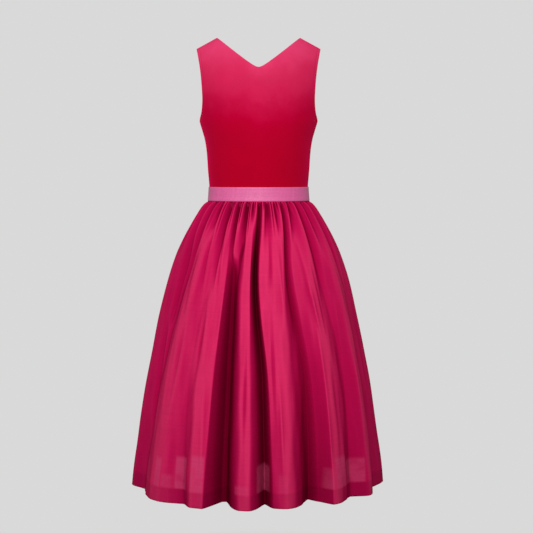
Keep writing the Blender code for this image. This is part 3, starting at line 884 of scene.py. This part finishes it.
def maths(tree, operation, first, second=0.0):
    return node(tree, "ShaderNodeMath", {0: first, 1: second}, operation=operation).outputs[0]


def plus(tree, first, second):
    return maths(tree, "ADD", first, second)


def times(tree, first, second):
    return maths(tree, "MULTIPLY", first, second)


def swing(tree, value, middle, amount):
    """How far a value is from its middle, times an amount."""
    return times(tree, maths(tree, "SUBTRACT", value, middle), amount)


def ranged(tree, value, low, high, out_low=0.0, out_high=1.0, smooth=True):
    kind = "SMOOTHSTEP" if smooth else "LINEAR"
    feeds = {"Value": value, "From Min": low, "From Max": high,
             "To Min": out_low, "To Max": out_high}
    return node(tree, "ShaderNodeMapRange", feeds, interpolation_type=kind).outputs["Result"]


def mixed(tree, share, first, second, blend="MIX"):
    feeds = {0: share, 6: first, 7: second}
    return node(tree, "ShaderNodeMix", feeds, data_type="RGBA", blend_type=blend).outputs[2]


def noise(tree, place, scale, detail, roughness=0.5):
    feeds = {"Vector": place, "Scale": scale, "Detail": detail, "Roughness": roughness}
    return node(tree, "ShaderNodeTexNoise", feeds).outputs["Fac"]


def object_place(tree):
    return node(tree, "ShaderNodeTexCoord").outputs["Object"]


def painted(tree, name):
    """A number that paint() keeps with the mesh."""
    return node(tree, "ShaderNodeAttribute", attribute_name=name).outputs["Fac"]


def group(name, inputs, outputs):
    """An empty shader node group with named number inputs and outputs."""
    tree = bpy.data.node_groups.new(name, "ShaderNodeTree")
    for label, value in inputs.items():
        socket = tree.interface.new_socket(label, in_out="INPUT", socket_type="NodeSocketFloat")
        socket.default_value = value
    for label in outputs:
        tree.interface.new_socket(label, in_out="OUTPUT", socket_type="NodeSocketFloat")
    return tree, tree.nodes.new("NodeGroupInput").outputs, tree.nodes.new("NodeGroupOutput").inputs


# Thick threads and streaks, first those that run down and then those that run across: how often
# each changes in a metre of the cut, across and down. One thread is half a turn of a sine.
SLUB_SCALES = ((1400.0, 40.0), (40.0, 1400.0))
STREAK_SCALES = ((260.0, 9.0), (7.0, 210.0))
HALF_TURN = 3.14159


def crossed(tree, place, scales, detail, amount):
    """Two drawn-out noises that cross each other, as a swing about zero."""
    both = []
    for scale in scales:
        drawn = node(tree, "ShaderNodeMapping", {"Vector": place, "Scale": (*scale, 1.0)})
        both.append(noise(tree, drawn.outputs[0], 1.0, detail))
    return swing(tree, plus(tree, *both), 1.0, amount)


def weave_group():
    """Plain weave: threads over and under each other, as a height and a shade of the colour."""
    tree, given, made = group("weave", {"Threads": 1800.0, "Slub": 0.3, "Streaks": 0.2},
                              ("Height", "Shade"))
    place = node(tree, "ShaderNodeUVMap", uv_map="cut").outputs[0]
    ways = node(tree, "ShaderNodeSeparateXYZ", {0: place}).outputs
    warp, weft = [maths(tree, "SINE", times(tree, times(tree, way, given["Threads"]), HALF_TURN))
                  for way in (ways[0], ways[1])]
    over = times(tree, warp, weft)
    slub = crossed(tree, place, SLUB_SCALES, 2.0, given["Slub"])
    streak = crossed(tree, place, STREAK_SCALES, 3.0, given["Streaks"])
    height = plus(tree, times(tree, over, 0.5), times(tree, slub, 2.0))
    shade = plus(tree, times(tree, over, 0.10), plus(tree, plus(tree, slub, streak), 1.0))
    tree.links.new(height, made["Height"])
    tree.links.new(shade, made["Shade"])
    return tree


def drift_group():
    """Slow uneven drift of a dyed cloth's colour, about 1 all over."""
    tree, given, made = group("colour drift", {"Size": 14.0, "Amount": 0.08}, ("Shade",))
    uneven = swing(tree, noise(tree, object_place(tree), given["Size"], 3.0), 0.5, given["Amount"])
    tree.links.new(plus(tree, times(tree, uneven, 2.0), 1.0), made["Shade"])
    return tree


def finish(name, roughness, sheen=0.0, sheen_roughness=0.4, sheen_tint=(1, 1, 1), specular=0.4):
    """A material with all of its surface set but the colour."""
    material = bpy.data.materials.new(name)
    material.use_nodes = True
    tree = material.node_tree
    shader = tree.nodes["Principled BSDF"]
    surface = {"Roughness": roughness, "Sheen Weight": sheen, "Sheen Roughness": sheen_roughness,
               "Sheen Tint": (*sheen_tint, 1), "Specular IOR Level": specular}
    for label, value in surface.items():
        shader.inputs[label].default_value = value
    return material, tree, shader


def through(tree, share, colours):
    """A colour that runs smoothly through a row of colours, each with its place from 0 to 1."""
    ramp = node(tree, "ShaderNodeValToRGB", {"Fac": share})
    ramp.color_ramp.interpolation = "CARDINAL"
    stops = ramp.color_ramp.elements
    for at, colour in colours:
        stop = stops[0] if at == 0 else stops[-1] if at == 1 else stops.new(at)
        stop.color = (*colour, 1)
    return ramp.outputs["Color"]


def dyed(tree, shader, colour, *shades):
    """Gives a material its colour, times one or more shades of it."""
    shade = shades[0]
    for other in shades[1:]:
        shade = times(tree, shade, other)
    grey = node(tree, "ShaderNodeCombineColor", {0: shade, 1: shade, 2: shade}).outputs[0]
    tree.links.new(mixed(tree, 1.0, colour, grey, "MULTIPLY"), shader.inputs["Base Color"])


def placed(tree, group_tree, **values):
    """A node group with its inputs set."""
    return node(tree, "ShaderNodeGroup", values, node_tree=group_tree).outputs


def bumped(tree, shader, height, distance):
    bump = node(tree, "ShaderNodeBump", {"Height": height, "Distance": distance, "Strength": 1.0})
    tree.links.new(bump.outputs[0], shader.inputs["Normal"])


WEAVE = weave_group()
DRIFT = drift_group()

# The velvet's colour at some heights, deep red below and painted lighter and pinker towards the top
# as a painted highlight of the light from above, and how far that painted highlight's edge strays
# up and down from them
PaintedSheenLevel = namedtuple("PaintedSheenLevel", "height colour")
PAINTED_SHEEN_UNEVEN = 0.075
PAINTED_SHEEN_LEVELS = [
    PaintedSheenLevel(-0.390, (0.44, 0.0001, 0.017)),
    PaintedSheenLevel(-0.250, (0.455, 0.0001, 0.020)),
    PaintedSheenLevel(-0.200, (0.485, 0.0005, 0.032)),
    PaintedSheenLevel(-0.150, (0.575, 0.010, 0.066)),
    PaintedSheenLevel(-0.080, (0.645, 0.027, 0.104)),
    PaintedSheenLevel(0.000, (0.79, 0.060, 0.180)),
]
SHEEN_MOTTLE_SCALE = 17.0
NAP_SCALE = 1600.0

# The line along the armhole where the edge is turned in: its distance from it and its half width
ARMHOLE_LINE = 0.007
ARMHOLE_LINE_REACH = 0.0022


def velvet():
    """Red velvet with a short nap, its colour painted lighter and pinker towards the top: a painted
    highlight of the light from above.
    """
    material, tree, shader = finish("velvet", 0.9, sheen=0.9, sheen_roughness=0.5,
                                    sheen_tint=(1.0, 0.01, 0.13), specular=0.02)
    place = object_place(tree)
    # Painted highlight: the height where the colour turns pink, its edge made uneven by a noise
    sheen_mottle = noise(tree, place, SHEEN_MOTTLE_SCALE, 6.0, 0.65)
    sheen_edge = plus(tree, painted(tree, "sheen_paint_height"), swing(tree, sheen_mottle, 0.5, PAINTED_SHEEN_UNEVEN))
    low, high = PAINTED_SHEEN_LEVELS[0].height, PAINTED_SHEEN_LEVELS[-1].height
    share = ranged(tree, sheen_edge, low, high, smooth=False)
    colour = through(tree, share, [((turned.height - low) / (high - low), turned.colour)
                                   for turned in PAINTED_SHEEN_LEVELS])
    nap = noise(tree, place, NAP_SCALE, 2.0)
    drift = placed(tree, DRIFT, Size=22.0, Amount=0.05)["Shade"]
    dyed(tree, shader, colour, ranged(tree, nap, 0.2, 0.8, 0.93, 1.07), drift)
    inset = maths(tree, "SUBTRACT", painted(tree, "from_armhole"), ARMHOLE_LINE)
    groove = ranged(tree, maths(tree, "ABSOLUTE", inset), 0.0, ARMHOLE_LINE_REACH, -1.0, 0.0)
    bumped(tree, shader, plus(tree, times(tree, nap, 0.3), groove), 0.0006)
    return material


def velvet_reverse():
    """The dull woven back of the velvet."""
    material, tree, shader = finish("velvet reverse", 0.9, specular=0.2)
    weave = placed(tree, WEAVE, Threads=1500.0, Slub=0.2, Streaks=0.1)
    dyed(tree, shader, (0.33, 0.006, 0.03, 1), weave["Shade"])
    bumped(tree, shader, weave["Height"], 0.0002)
    return material


def satin():
    """Pink satin ribbon."""
    material, tree, shader = finish("satin", 0.42, sheen=0.1, specular=0.5)
    weave = placed(tree, WEAVE, Threads=2600.0, Slub=0.35, Streaks=0.22)
    drift = placed(tree, DRIFT, Size=30.0, Amount=0.05)["Shade"]
    dyed(tree, shader, (0.73, 0.118, 0.325, 1), weave["Shade"], drift)
    bumped(tree, shader, weave["Height"], 0.00008)
    return material


# Painted shade on the skirt: its colour by how much of the sky it sees, painted darkest at 0 deep
# in a fold and lightest at 1 on a ridge
COTTON_PAINTED_SHADE = [
    (0.0, (0.115, 0.0001, 0.009)),
    (0.40, (0.32, 0.0015, 0.040)),
    (0.75, (0.525, 0.0075, 0.080)),
    (1.0, (0.69, 0.025, 0.120)),
]
SINGLE_COLOUR = (0.66, 0.070, 0.195, 1)
RAGGED_SCALE = 26.0

# How light the colour is on the doubled hem, and how light it is painted just above the hem as
# painted shade, darkening from the given height down
HEM_SHADE = 0.86
PAINTED_FALL_SHADE = 0.90
PAINTED_FALL_HEIGHT = 0.28
HEM_LINE_REACH = 0.0012


def skirt_cotton():
    """Fine raspberry cotton: painted shade makes it darker deep in the folds and towards the hem;
    lighter where it is one cloth thick.
    """
    material, tree, shader = finish("raspberry cotton", 0.6, specular=0.0)
    weave = placed(tree, WEAVE, Threads=2200.0, Slub=0.22, Streaks=0.15)
    drift = placed(tree, DRIFT, Size=9.0, Amount=0.07)["Shade"]
    above_hem = painted(tree, "from_hem_top")
    ragged = noise(tree, object_place(tree), RAGGED_SCALE, 4.0)
    patch = times(tree, painted(tree, "single"), ranged(tree, ragged, 0.30, 0.55, 0.26, 0.50))
    # Painted shade: darker where the cloth sees less sky, deep in the folds
    colour = through(tree, painted(tree, "openness"), COTTON_PAINTED_SHADE)
    colour = mixed(tree, patch, colour, SINGLE_COLOUR)
    hem = ranged(tree, above_hem, -0.0015, 0.0, HEM_SHADE, 1.0)
    # Painted shade: the cloth is painted darker towards the hem
    fall = ranged(tree, above_hem, 0.0, PAINTED_FALL_HEIGHT, PAINTED_FALL_SHADE, 1.0)
    dyed(tree, shader, colour, weave["Shade"], drift, hem, fall)
    line = ranged(tree, maths(tree, "ABSOLUTE", above_hem), 0.0, HEM_LINE_REACH, -1.0, 0.0)
    bumped(tree, shader, plus(tree, times(tree, weave["Height"], 0.3), line), 0.0003)
    return material


def lining_cotton():
    """Plain matt lining."""
    material, tree, shader = finish("lining cotton", 0.8, specular=0.05)
    weave = placed(tree, WEAVE, Threads=2000.0, Slub=0.15, Streaks=0.1)
    drift = placed(tree, DRIFT, Size=9.0, Amount=0.06)["Shade"]
    dyed(tree, shader, (0.30, 0.004, 0.035, 1), weave["Shade"], drift)
    bumped(tree, shader, weave["Height"], 0.0001)
    return material


# ---- The pieces

VELVET_SIDES = (velvet(), velvet_reverse())

back = bodice_panel("bodice_back", "back", BACK_NECK_DROP, 1, True, *VELVET_SIDES)
right_front = bodice_panel("bodice_front_right", "front", FRONT_NECK_DROP, 1, False, *VELVET_SIDES)
left_front = bodice_panel("bodice_front_left", "front", FRONT_NECK_DROP, -1, False, *VELVET_SIDES)
band = make_waistband(satin())
skirt_left, skirt_back, skirt_right = make_skirt(skirt_cotton())
lining = make_lining(lining_cotton())

# ---- Floor, light and camera

FLOOR_HEIGHT = -1.43
FLOOR_RADII = (0.001, 0.75)
FLOOR_FADE = (0.30, 0.72)
FLOOR_GREY = 0.70
BACKDROP = 0.694
FILL = 0.30


def make_floor():
    """A pale round floor that fades out at its edge."""
    rings, spokes = 12, 64
    radius = np.linspace(*FLOOR_RADII, rings + 1)[:, None]
    angle = np.linspace(0, 2 * np.pi, spokes + 1)[None, :]
    height = FLOOR_HEIGHT + 0 * radius * angle
    points = np.stack((radius * np.cos(angle), radius * np.sin(angle), height), -1)
    mesh = grid_mesh("floor", points)[0]
    floor = linked("floor", mesh)
    material, tree, shader = finish("pale floor", 0.95, specular=0.0)
    split = node(tree, "ShaderNodeSeparateXYZ", {0: object_place(tree)}).outputs
    flat = node(tree, "ShaderNodeCombineXYZ", {0: split[0], 1: split[1]}).outputs[0]
    away = node(tree, "ShaderNodeVectorMath", {0: flat}, operation="LENGTH").outputs["Value"]
    tree.links.new(ranged(tree, away, *FLOOR_FADE, 1.0, 0.0), shader.inputs["Alpha"])
    shader.inputs["Base Color"].default_value = (FLOOR_GREY, FLOOR_GREY, FLOOR_GREY, 1)
    mesh.materials.append(material)


KEY_PLACE = (-0.3, -3.2, 1.35)
KEY_TARGET = (0, 0, -0.5)
KEY_SIZE = 1.8
KEY_POWER = 115


def make_key_light():
    """One broad lamp above the camera."""
    data = bpy.data.lights.new("key", "AREA")
    data.size = KEY_SIZE
    data.energy = KEY_POWER
    lamp = linked("key", data)
    lamp.location = KEY_PLACE
    towards = Vector(KEY_TARGET) - Vector(KEY_PLACE)
    lamp.rotation_euler = towards.to_track_quat("-Z", "Y").to_euler()


def make_backdrop():
    """An even grey behind everything, which lights the cloth less than it shows."""
    world = bpy.data.worlds.new("backdrop")
    SCENE.world = world
    world.use_nodes = True
    tree = world.node_tree
    shown = tree.nodes["Background"]
    shown.inputs["Color"].default_value = (BACKDROP, BACKDROP, BACKDROP, 1)
    lit = node(tree, "ShaderNodeBackground", {"Color": (FILL, FILL, FILL, 1)})
    path = node(tree, "ShaderNodeLightPath").outputs["Is Camera Ray"]
    feeds = {0: path, 1: lit.outputs[0], 2: shown.outputs[0]}
    mix = node(tree, "ShaderNodeMixShader", feeds)
    tree.links.new(mix.outputs[0], tree.nodes["World Output"].inputs["Surface"])


FOCAL_PIXELS = 1323.5
AXIS_PIXEL = 258.65
PICTURE = 533
SENSOR = 36
CAMERA_PLACE = (0.0, -3.3, -0.3244)
CAMERA_TILT = 4.1812


def make_camera():
    """A camera behind the wearer, looking a little down, with the dress's axis at its pixel."""
    data = bpy.data.cameras.new("camera")
    data.sensor_width = SENSOR
    data.lens = FOCAL_PIXELS / PICTURE * SENSOR
    camera = linked("camera", data)
    camera.location = CAMERA_PLACE
    aside = np.arctan((PICTURE / 2 - AXIS_PIXEL) / FOCAL_PIXELS)
    camera.rotation_euler = (np.radians(90 - CAMERA_TILT), 0, -aside)
    SCENE.camera = camera


make_floor()
make_key_light()
make_backdrop()
make_camera()
SCENE.view_settings.view_transform = "Standard"
